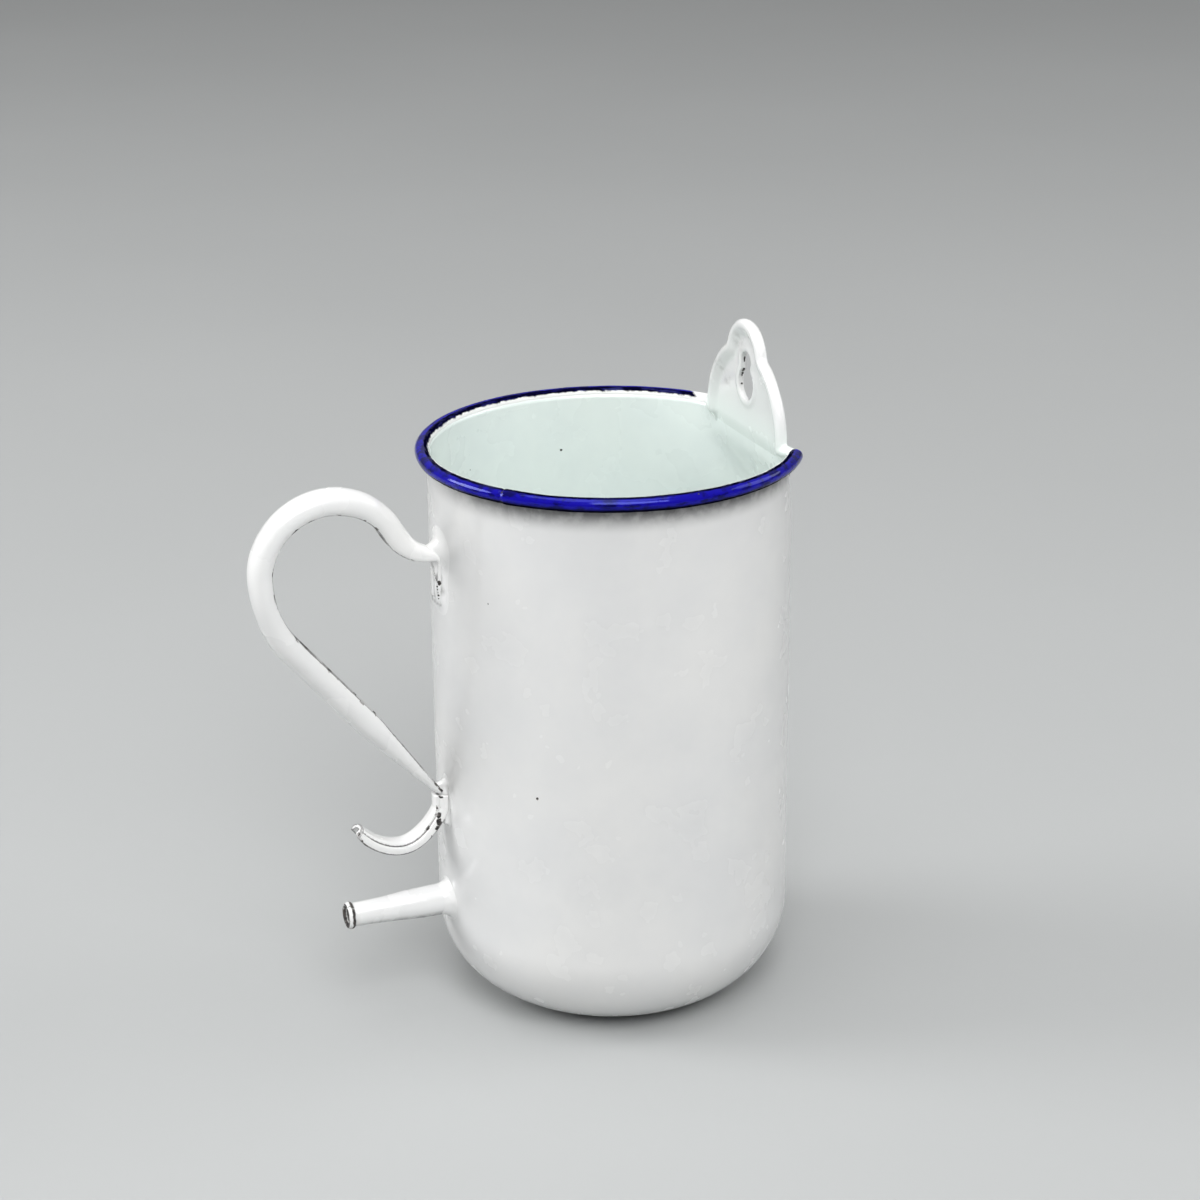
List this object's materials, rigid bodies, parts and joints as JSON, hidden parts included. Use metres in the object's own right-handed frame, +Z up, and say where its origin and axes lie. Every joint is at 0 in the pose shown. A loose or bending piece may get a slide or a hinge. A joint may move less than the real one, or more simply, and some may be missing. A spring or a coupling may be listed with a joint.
{
  "type": "enamel douche can",
  "caption": "Tall enamelled steel can with a rolled blue rim, a keyhole hanging plate, a looped side handle, a tube hook and a hose spout near the bottom.",
  "frame": {"origin": "middle of the can's underside, on the surface that it stands on", "axes": "+Z up the can's axis; -Y towards the handle, the tube hook and the hose spout; +Y towards the hanging plate; +X to the right seen from the spout's side"},
  "size_m": [0.1276, 0.1836, 0.2284],
  "materials": {
    "white_enamel": "gloss, slightly wavy vitreous enamel on sheet steel",
    "blue_enamel": "gloss cobalt blue vitreous enamel on the rolled rim"
  },
  "bodies": {
    "root": {"can_body": "white_enamel", "rim_bead": "blue_enamel", "hanger_plate": "white_enamel", "handle": "white_enamel", "handle_weld": "white_enamel", "tube_hook": "white_enamel", "hook_weld": "white_enamel", "spout": "white_enamel", "spout_weld": "white_enamel"}
  },
  "joints": []
}
